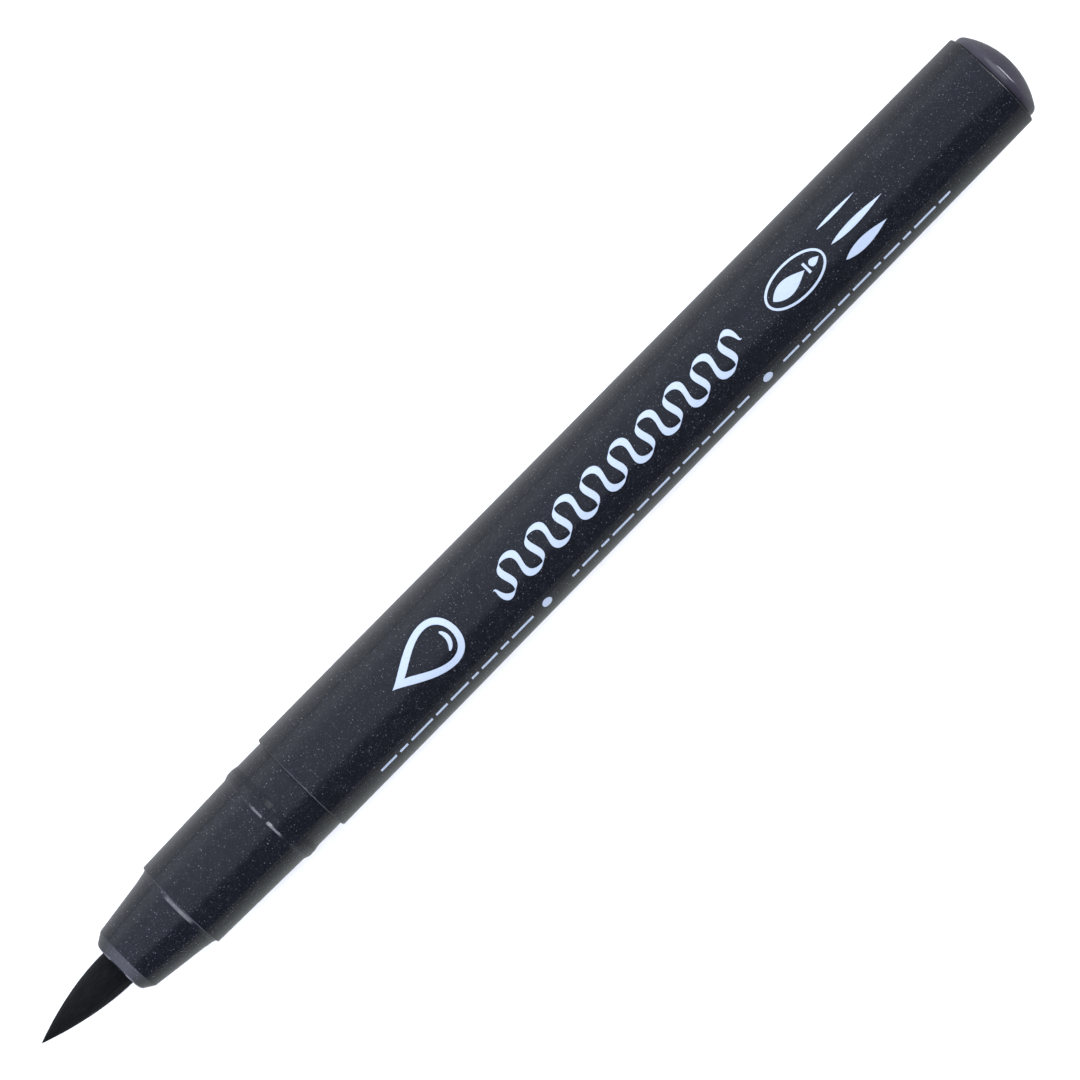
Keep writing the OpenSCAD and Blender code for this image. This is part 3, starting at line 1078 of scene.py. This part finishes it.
@dataclass
class CapShellSkin:
    """The cap's shell with its clip. Depths run from the mouth to the closed end."""

    mouth_x: float
    length: float
    lift: float
    mouth_r: float = 6.525
    end_r: float = 6.0
    crown_h: float = 0.35
    corner_r: float = 1.5
    edge: float = 0.2
    bore_r: float = 5.91
    snap_r: float = 5.82
    snap_depth: float = 2.0
    snap_len: float = 0.6
    neck_bore_depth: float = 5.9
    neck_bore_r: float = 5.69
    liner_depth: float = 17.85
    liner_mouth_r: float = 5.43
    liner_r: float = 5.2
    floor_t: float = 1.4
    clip_angle: float = 129.0
    clip_height: float = 7.5
    clip_half_t: float = 0.56
    clip_root_depth: float = 43.8
    clip_free_depth: float = 12.95
    clip_half_widths: tuple[float, float] = (1.6, 1.2)

    def corners(self) -> list[Corner]:
        """The outline from the crown on the axis, out and along to the mouth, and in to the floor."""
        flat = self.length - self.crown_h
        floor = flat - self.floor_t
        snap_end = self.snap_depth + self.snap_len
        depths = [
            (self.length, 0.0, 0.0), (self.length - 0.09, 2.2, 8.0),
            (flat, self.end_r, self.corner_r), (0.0, self.mouth_r, self.edge),
            (0.0, self.bore_r + self.edge, 0.15), (2 * self.edge, self.bore_r, 0.3),
            (self.snap_depth - 0.3, self.bore_r, 0.3), (self.snap_depth, self.snap_r, 0.2),
            (snap_end, self.snap_r, 0.2), (snap_end + 0.3, self.bore_r, 0.3),
            (self.neck_bore_depth - 0.8, self.bore_r, 0.3), (self.neck_bore_depth, self.neck_bore_r, 0.3),
            (self.liner_depth, self.liner_mouth_r, 0.1), (self.liner_depth, self.liner_r, 0.03),
            (floor, self.liner_r, 0.4), (floor, 0.0, 0.0),
        ]
        return [Corner(self.mouth_x - d, r, rounding) for d, r, rounding in depths]

    def clip(self) -> Shell:
        """The clip, as a rounded rectangle carried along a bent line.

        The line rises out of the shell, turns with a round bend, runs along to the free end and dips
        there to press on a pocket. The section is |sin|^p and |cos|^p of an angle, scaled by half the
        clip's thickness and width, with p under 1 to square it up.
        """
        free, root, high = self.clip_free_depth, self.clip_root_depth, self.clip_height
        line = rounded([
            Corner(root, self.end_r - 0.9), Corner(root, high, 1.5), Corner(free + 3.4, high - 0.02, 6.0),
            Corner(free + 1.2, high - 0.32, 1.2), Corner(free, high + 0.05),
        ], spacing=0.5)
        gone = np.concatenate([[0], np.cumsum(np.linalg.norm(np.diff(line, axis=0), axis=1))])
        share = gone / gone[-1]
        ahead = np.gradient(line, gone, axis=0)
        ahead /= np.linalg.norm(ahead, axis=1, keepdims=True)
        across = np.stack([-ahead[:, 1], ahead[:, 0]], axis=-1)
        left = gone[-1] - gone
        tip_round = np.sqrt(np.clip(1 - (1 - np.clip(left / 0.9, 0, 1)) ** 2, 0.0004, 1))
        root_flare = 1.0 * (1 - smooth_step(gone, 0.2, 2.4))
        half_t = (self.clip_half_t + root_flare + 0.12 * smooth_step(-left, -3, -1)) * tip_round
        wide, narrow = self.clip_half_widths
        half_w = (wide + (narrow - wide) * share) * (0.35 + 0.65 * tip_round)
        a = even_angles(40)
        squared = [np.sign(f) * np.abs(f) ** 0.42 for f in (np.sin(a), np.cos(a))]
        thick = half_t[:, None] * squared[0]
        depth = line[:, :1] + across[:, :1] * thick
        height = line[:, 1:] + across[:, 1:] * thick
        width = half_w[:, None] * squared[1]
        turn = math.radians(self.clip_angle)
        y = -height * math.sin(turn) + width * math.cos(turn)
        z = self.lift + height * math.cos(turn) + width * math.sin(turn)
        return tube(np.stack([self.mouth_x - depth, y, z], axis=-1))

    def build(self) -> bpy.types.Object:
        """Makes the shell and its clip as one moulding."""
        shell = turned(rounded(self.corners(), spacing=0.8), even_angles(), lift=self.lift)
        piece = make_piece("cap_shell_skin", [shell, self.clip()], Look.BODY.material(), "dark_plastic")
        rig.replaces(piece, "cap_shell")
        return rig.ride(piece, "cap")


@dataclass
class CapLinerSkin:
    """The cap's inner liner, which seals on the nose cone. Depths run from the liner's own mouth."""

    mouth_x: float
    length: float
    lift: float
    outer_r: float = 5.2
    seat_r: float = 4.95
    bore_r: float = 4.52
    seat_len: float = 2.3
    floor_t: float = 1.0

    def build(self) -> bpy.types.Object:
        """Turns the liner's cup."""
        depths = [
            (self.length, 0.0, 0.0), (self.length, self.outer_r, 0.3), (0.0, self.outer_r, 0.05),
            (0.0, self.seat_r, 0.08), (self.seat_len, self.bore_r, 0.8),
            (self.length - self.floor_t, self.bore_r, 0.6), (self.length - self.floor_t, 0.0, 0.0),
        ]
        outline = rounded([Corner(self.mouth_x - d, r, rounding) for d, r, rounding in depths])
        shell = turned(outline, even_angles(128), lift=self.lift)
        piece = make_piece("cap_liner_skin", [shell], Look.MILKY.material(), "natural_plastic")
        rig.replaces(piece, "cap_liner")
        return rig.ride(piece, "cap")


@dataclass
class BarrelPrint:
    """The marks printed on the barrel, all generic: an ink drop, a ribbon wave, a nib sign and strokes.

    A mark is drawn flat, by its place x along the barrel and its way s round it from the top towards
    +Y, and is then wrapped on the barrel.

    Args:
        barrel: the barrel that carries the marks.
        coat: how far the ink stands on the plastic, in mm.
        sunk: how far the marks' undersides lie in the plastic, in mm.
    """

    barrel: BarrelSkin
    coat: float = 0.018
    sunk: float = 0.03
    columns: int = 4

    def wrapped(self, left: Array, right: Array, closed: bool = False) -> Shell:
        """Makes the printed band between two edge lines.

        A section runs across from the left edge to the right one on top of the coat, and back under it.
        A flat place (x, s) at height h lies at x, radius + h and angle s / radius.

        Args:
            left: (n, 2) flat places of one edge.
            right: (n, 2) flat places of the other.
            closed: whether the band is a ring.

        Returns:
            The band as a thin closed surface.
        """
        share = np.linspace(0, 1, self.columns)[None, :, None]
        top = left[:, None] * (1 - share) + right[:, None] * share
        flat = np.concatenate([top, top[:, ::-1]], axis=1)
        height = np.repeat([self.coat, -self.sunk], self.columns)[None, :]
        r = self.barrel.radius_at(flat[..., 0])
        a = flat[..., 1] / r
        points = np.stack([flat[..., 0], (r + height) * np.sin(a), (r + height) * np.cos(a)], axis=-1)
        return tube(points, closed=closed)

    def stroke(self, line: Array, width: Array | float, closed: bool = False) -> Shell:
        """A band about a line, half its width to each side, at right angles to it."""
        ahead = np.roll(line, -1, 0) - np.roll(line, 1, 0) if closed else np.gradient(line, axis=0)
        ahead /= np.linalg.norm(ahead, axis=1, keepdims=True)
        across = np.stack([-ahead[:, 1], ahead[:, 0]], axis=-1) * np.reshape(width, (-1, 1)) / 2
        return self.wrapped(line + across, line - across, closed)

    def ring(self, centre: tuple[float, float], half: tuple[float, float], width: float) -> Shell:
        """An ellipse's outline of an even width."""
        a = even_angles(72)
        line = np.stack([centre[0] + half[0] * np.cos(a), centre[1] + half[1] * np.sin(a)], axis=-1)
        return self.stroke(line, width, closed=True)

    def leaf(self, start: tuple[float, float], end: tuple[float, float], width: float,
             fullness: float = 1.0) -> Shell:
        """A leaf between two points, as wide as sin(pi t^fullness) at share t of its length."""
        t = np.linspace(0, 1, 33)[:, None]
        line = np.array(start) * (1 - t) + np.array(end) * t
        return self.stroke(line, width * np.maximum(np.sin(math.pi * t[:, 0] ** fullness), 0.02))

    def drop(self, centre: tuple[float, float], length: float, width: float) -> list[Shell]:
        """An ink drop's outline that points to the nib, with a glint inside.

        The drop's edge is x = -cos(a) and s = sin(a) sin(a / 2)^1.5 of a full turn a, which is a point at
        a = 0 and round at a = pi.
        """
        a = even_angles(96) + TURN / 192
        shape = np.stack([-np.cos(a) * length / 2, np.sin(a) * np.sin(a / 2) ** 1.5 * width * 0.62], axis=-1)
        inner = shape * 0.74 + np.array([length * 0.055, 0])
        outline = self.wrapped(np.array(centre) + shape, np.array(centre) + inner, closed=True)
        b = np.linspace(-1.0, 0.55, 24)
        glint = np.stack([centre[0] + length * (0.16 + 0.19 * np.cos(b)),
                          centre[1] + width * 0.24 * np.sin(b)], axis=-1)
        return [outline, self.stroke(glint, 0.5 * np.cos((b + 0.22) * 1.9) ** 0.5)]

    def wave(self, start_x: float, end_x: float, middle: float, swing: float, turns: int) -> Shell:
        """A ribbon wave as a broad nib would draw it.

        The line is a sine whose swing grows in from nothing and out again. Its two edges are the line
        moved each way along the nib's own direction, so that the wave is thick where it crosses the
        nib and thin where it runs along it.
        """
        t = np.linspace(0, 1, 48 * turns)
        fade = smooth_step(t, 0, 0.03) * smooth_step(1 - t, 0, 0.03)
        angle = TURN * turns * t
        x = start_x + (end_x - start_x) * t + 0.55 * np.sin(2 * angle) * fade
        line = np.stack([x, middle + swing * np.sin(angle) * fade], axis=-1)
        nib = np.array([0.33, 0.2])
        half = nib[None] * (0.15 + 0.85 * fade[:, None])
        return self.wrapped(line + half, line - half)

    def build(self) -> list[bpy.types.Object]:
        """Makes the printed marks, each a piece of its own on the pen."""
        side = -5.75
        marks: dict[str, list[Shell]] = {
            "print_ink_drop": self.drop((17.6, -0.1), 9.0, 6.4),
            "print_ribbon_wave": [self.wave(62.4, 27.2, -0.3, 1.7, 9)],
            "print_nib_sign": [
                self.ring((70.3, 0.0), (3.75, 1.9), 0.26),
                self.leaf((67.2, 0.0), (71.6, 0.0), 1.7, 0.8),
                self.stroke(np.array([(71.9, -0.62), (71.9, 0.0), (71.9, 0.62)]), 0.3),
                self.leaf((72.3, 0.0), (73.6, 0.0), 0.8, 0.6),
            ],
            "print_stroke_samples": [
                self.leaf((75.3, 2.0), (80.6, 2.0), 0.4, 0.8),
                self.leaf((75.3, -0.1), (82.4, -0.1), 0.75, 0.8),
                self.leaf((75.3, -2.3), (81.0, -2.3), 1.15, 0.8),
            ],
            "print_side_line": self.side_line(side),
        }
        pieces = []
        for name, shells in marks.items():
            piece = make_piece(name, shells, Look.PRINT.material(), "print_ink")
            pieces.append(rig.ride(piece, "pen"))
        return pieces

    def side_line(self, s: float) -> list[Shell]:
        """A fine row of short dashes low on the side, broken by two round dots."""
        dots = (30.2, 61.6)
        lengths = (2.2, 1.1, 3.0, 1.6, 2.5, 0.9)
        shells: list[Shell] = [self.ring((x, s), (0.3, 0.3), 0.6) for x in dots]
        x, i = 6.6, 0
        while x < 86.0:
            length = lengths[i % len(lengths)]
            if all(abs(x + length / 2 - dot) > 1.6 + length / 2 for dot in dots):
                line = np.stack([np.linspace(x, x + length, 8), np.full(8, s)], axis=-1)
                shells.append(self.stroke(line, 0.34))
            x, i = x + length + 0.5, i + 1
        return shells


# ---------------------------------------------------------------- studio


@dataclass
class Studio:
    """A white sheet, a soft sky that is dark on one side, two soft lamps and the camera.

    Args:
        floor_z: height of the surface that the marker lies on.
        aim: the point of the pen's axis that the camera looks at.
        frame_w: width of what the camera sees at the axis.
        distance: height of the camera over the axis.
        roll: how far the camera is turned about the view direction, in degrees.
    """

    floor_z: float
    aim: tuple[float, float] = (34.08, -0.055)
    frame_w: float = 108.0
    distance: float = 860.0
    roll: float = -45.49
    sensor: float = 36.0
    floor_size: float = 12000.0
    floor_lines: int = 9

    def floor(self) -> None:
        """Lays the sheet, as a fine grid that rises nowhere."""
        edge = np.linspace(-self.floor_size / 2, self.floor_size / 2, self.floor_lines)
        x, y = np.meshgrid(edge, edge, indexing="ij")
        points = np.stack([x, y, np.full_like(x, self.floor_z)], axis=-1).reshape(-1, 3) * MM
        numbers = np.arange(x.size).reshape(x.shape)
        quads = np.stack([numbers[:-1, :-1], numbers[1:, :-1], numbers[1:, 1:], numbers[:-1, 1:]], axis=-1)
        mesh = bpy.data.meshes.new("paper")
        mesh.from_pydata(points.tolist(), [], quads.reshape(-1, 4).tolist())
        mesh.materials.append(Look.PAPER.material())
        sheet = bpy.data.objects.new("paper", mesh)
        sheet.visible_glossy = False
        bpy.context.scene.collection.objects.link(sheet)
        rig.stage(sheet)

    @staticmethod
    def even_sky(shader: Shader, toward: dict[str, Value]) -> Value:
        """The soft sky, which changes with the angle across the pen.

        The angle is measured from overhead, towards +Y. The sky is dark on the -Y side, down to the
        horizon, and brightest low on the +Y side. Below the horizon it has the paper's light, which is
        what the marker's gloss reflects from there, and it grows dark straight under the pen. It is a
        third brighter towards -X, and a white band stands on the horizon.

        Args:
            shader: the world's node tree.
            toward: the direction's parts along X, Y and Z.

        Returns:
            The sky's colour.
        """
        dark, under = (0.05, 0.055, 0.07), (0.25, 0.25, 0.26)
        stops = [
            (-180, under), (-158, (0.42, 0.43, 0.43)), (-128, (0.85, 0.9, 0.88)), (-98, (0.82, 0.87, 0.85)),
            (-93, dark), (-34, dark), (-22, (0.98, 1.07, 1.25)), (45, (1.12, 1.24, 1.44)),
            (66, (1.85, 1.95, 2.15)), (82, (1.55, 1.62, 1.78)), (96, (1.3, 1.34, 1.38)),
            (130, (1.05, 1.08, 1.13)), (158, (0.45, 0.46, 0.47)), (180, under),
        ]
        share = shader.maths("ARCTAN2", toward["Y"], toward["Z"]) * (1 / TURN) + 0.5
        across = shader.node("ShaderNodeValToRGB", {"stops": [(0.5 + d / 360, c) for d, c in stops]},
                             {"Fac": share})["Color"]
        gain = 1.0 + 0.32 * (0 - toward["X"]).step(-0.09, 0.03)
        along = shader.node("ShaderNodeVectorMath", {"operation": "SCALE"},
                            {"Vector": across, "Scale": gain})["Vector"]
        horizon = shader.maths("ABSOLUTE", toward["Z"]).step(0.045, 0.03)
        return shader.mix(along, (1.15, 1.15, 1.15), horizon)

    @staticmethod
    def edge_lights(shader: Shader, toward: dict[str, Value], sky: Value) -> Value:
        """Adds the lights that the rounded edges show to a camera overhead.

        A surface turned by b about the pen from facing up, and tilted by t towards -X, reflects the
        direction d where tan b = dY / (1 + dZ) and tan t = -dX / sqrt(dY^2 + (1 + dZ)^2). The nose's lip
        shows a lilac glow by these angles. The bead's ramp and the shoulder's bevel show a bright bar,
        and the plug's fillet shows a short strip on the horizon towards +X.

        Args:
            shader: the world's node tree.
            toward: the direction's parts along X, Y and Z.
            sky: the colour that the lights are added to.

        Returns:
            The colour with the lights in it.
        """
        upward = toward["Z"] + 1.0
        turn = shader.maths("DIVIDE", toward["Y"], upward)
        facing = (upward ** 2.0 + shader.maths("ABSOLUTE", toward["Y"]) ** 2.0) ** 0.5
        tilt = shader.maths("DIVIDE", 0 - toward["X"], facing)
        glow = tilt.step(0.5, 0.6) * shader.maths("ABSOLUTE", turn).step(1.25, 0.05) ** 1.5
        bar = tilt.step(0.385, 0.405) * tilt.step(0.47, 0.45)
        bar = bar * shader.maths("ABSOLUTE", turn + 0.04).step(0.47, 0.3)
        strip = shader.maths("ABSOLUTE", toward["Z"] + 0.08).step(0.13, 0.08)
        strip = strip * shader.maths("ABSOLUTE", toward["Y"] + 0.1).step(0.24, 0.16)
        strip = strip * toward["X"].step(0.5, 0.6)
        lit = sky
        lights = (((5.6, 5.8, 7.4), glow), ((16.0, 16.5, 19.5), bar), ((30.0, 30.0, 33.0), strip))
        for colour, share in lights:
            lit = shader.mix(lit, colour, share)
        return lit

    def sky(self) -> None:
        """Lights the scene from an even sky with a few small lights in it."""
        world = bpy.data.worlds.new("studio")
        bpy.context.scene.world = world
        shader = Shader(world)
        direction = shader.node("ShaderNodeTexCoord")["Generated"]
        toward = shader.node("ShaderNodeSeparateXYZ", None, {"Vector": direction})
        lit = self.edge_lights(shader, toward, self.even_sky(shader, toward))
        light = shader.node("ShaderNodeBackground", None, {"Color": lit, "Strength": 1.0})["Background"]
        shader.node("ShaderNodeOutputWorld", None, {"Surface": light})

    def lamp(self, name: str, zenith: float, azimuth: float, strength: float, spread: float) -> None:
        """Adds a far, soft lamp.

        Args:
            name: the lamp's name.
            zenith: its angle from overhead, in degrees.
            azimuth: its bearing from +X towards +Y, in degrees.
            strength: its light on a surface that faces it, in W/m2.
            spread: its apparent width, in degrees.
        """
        light = bpy.data.lights.new(name, "SUN")
        light.energy = strength
        light.angle = math.radians(spread)
        lamp = bpy.data.objects.new(name, light)
        z, a = math.radians(zenith), math.radians(azimuth)
        toward = Vector((math.sin(z) * math.cos(a), math.sin(z) * math.sin(a), math.cos(z)))
        lamp.rotation_euler = toward.to_track_quat("Z", "Y").to_euler()
        bpy.context.scene.collection.objects.link(lamp)

    def camera(self) -> None:
        """Hangs the camera straight over the pen, turned so that the pen lies across the frame."""
        data = bpy.data.cameras.new("camera")
        data.sensor_width = self.sensor
        data.lens = self.sensor * self.distance / self.frame_w
        data.clip_start, data.clip_end = 0.01, 50.0
        camera = bpy.data.objects.new("camera", data)
        turn = Matrix.Rotation(math.radians(self.roll), 4, "Z")
        camera.matrix_world = Matrix.Translation(Vector((*self.aim, self.distance)) * MM) @ turn
        bpy.context.scene.collection.objects.link(camera)
        bpy.context.scene.camera = camera

    def build(self) -> None:
        """Sets up the sheet, the lights, the camera and the plain way of showing colours."""
        self.floor()
        self.sky()
        self.lamp("front_lamp", 43, 199, 0.6, 9)
        self.lamp("rear_lamp", 48, 12, 2.9, 58)
        self.camera()
        bpy.context.scene.view_settings.view_transform = "Standard"


def node_box(name: str) -> tuple[Array, Array]:
    """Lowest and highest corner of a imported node, in mm."""
    low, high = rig.box(name)
    return np.array(low) / MM, np.array(high) / MM


def dress_inner_parts() -> None:
    """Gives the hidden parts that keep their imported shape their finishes."""
    looks = {"nib_holder": Look.MILKY, "relay_wick": Look.FIBRE, "reservoir": Look.FIBRE,
             "reservoir_wrap": Look.FILM}
    for name, look in looks.items():
        for slot in frame["nodes"][name].material_slots:
            slot.material = look.material()
        LOG.info("%s: dressed in %s", name, look.name.lower())


def write_sizes(names: Sequence[str], boxes: Sequence[tuple[Vector, Vector]]) -> None:
    """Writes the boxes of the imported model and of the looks, as plain lists in metres."""
    sizes = {name: [list(corner) for corner in box] for name, box in zip(names, boxes)}
    with open(SIZE_FILE, "w") as file:
        json.dump(sizes, file)


def main() -> None:
    """Builds the marker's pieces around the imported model, then the studio."""
    logging.basicConfig(level=logging.INFO, format="%(name)s: %(message)s")
    barrel_high = node_box("barrel")[1]
    front_low, front_high = node_box("front_section")
    plug_high = node_box("end_plug")[1]
    tip_low = node_box("nib_tip")[0]
    cap_low, cap_high = node_box("cap_shell")
    liner_low, liner_high = node_box("cap_liner")

    barrel = BarrelSkin(rear_x=float(barrel_high[0]))
    barrel.build()
    BarrelPrint(barrel).build()
    lip_at = float(-front_low[0])
    FrontSectionSkin(lip_at=lip_at, rear_at=float(-front_high[0])).build()
    FeltNib(tip_at=float(-tip_low[0]), lip_at=lip_at).build()
    EndPlugSkin(seat_x=float(barrel_high[0]), apex_x=float(plug_high[0])).build()

    lift = float(liner_low[2] + liner_high[2]) / 2
    CapShellSkin(mouth_x=float(cap_high[0]), length=float(cap_high[0] - cap_low[0]), lift=lift).build()
    CapLinerSkin(mouth_x=float(liner_high[0]), length=float(liner_high[0] - liner_low[0]), lift=lift).build()
    dress_inner_parts()

    Studio(floor_z=-barrel.front_r).build()
    write_sizes(["cad", "looks"], [CAD_BOX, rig.bounds()])


if __name__ == "__main__":
    main()
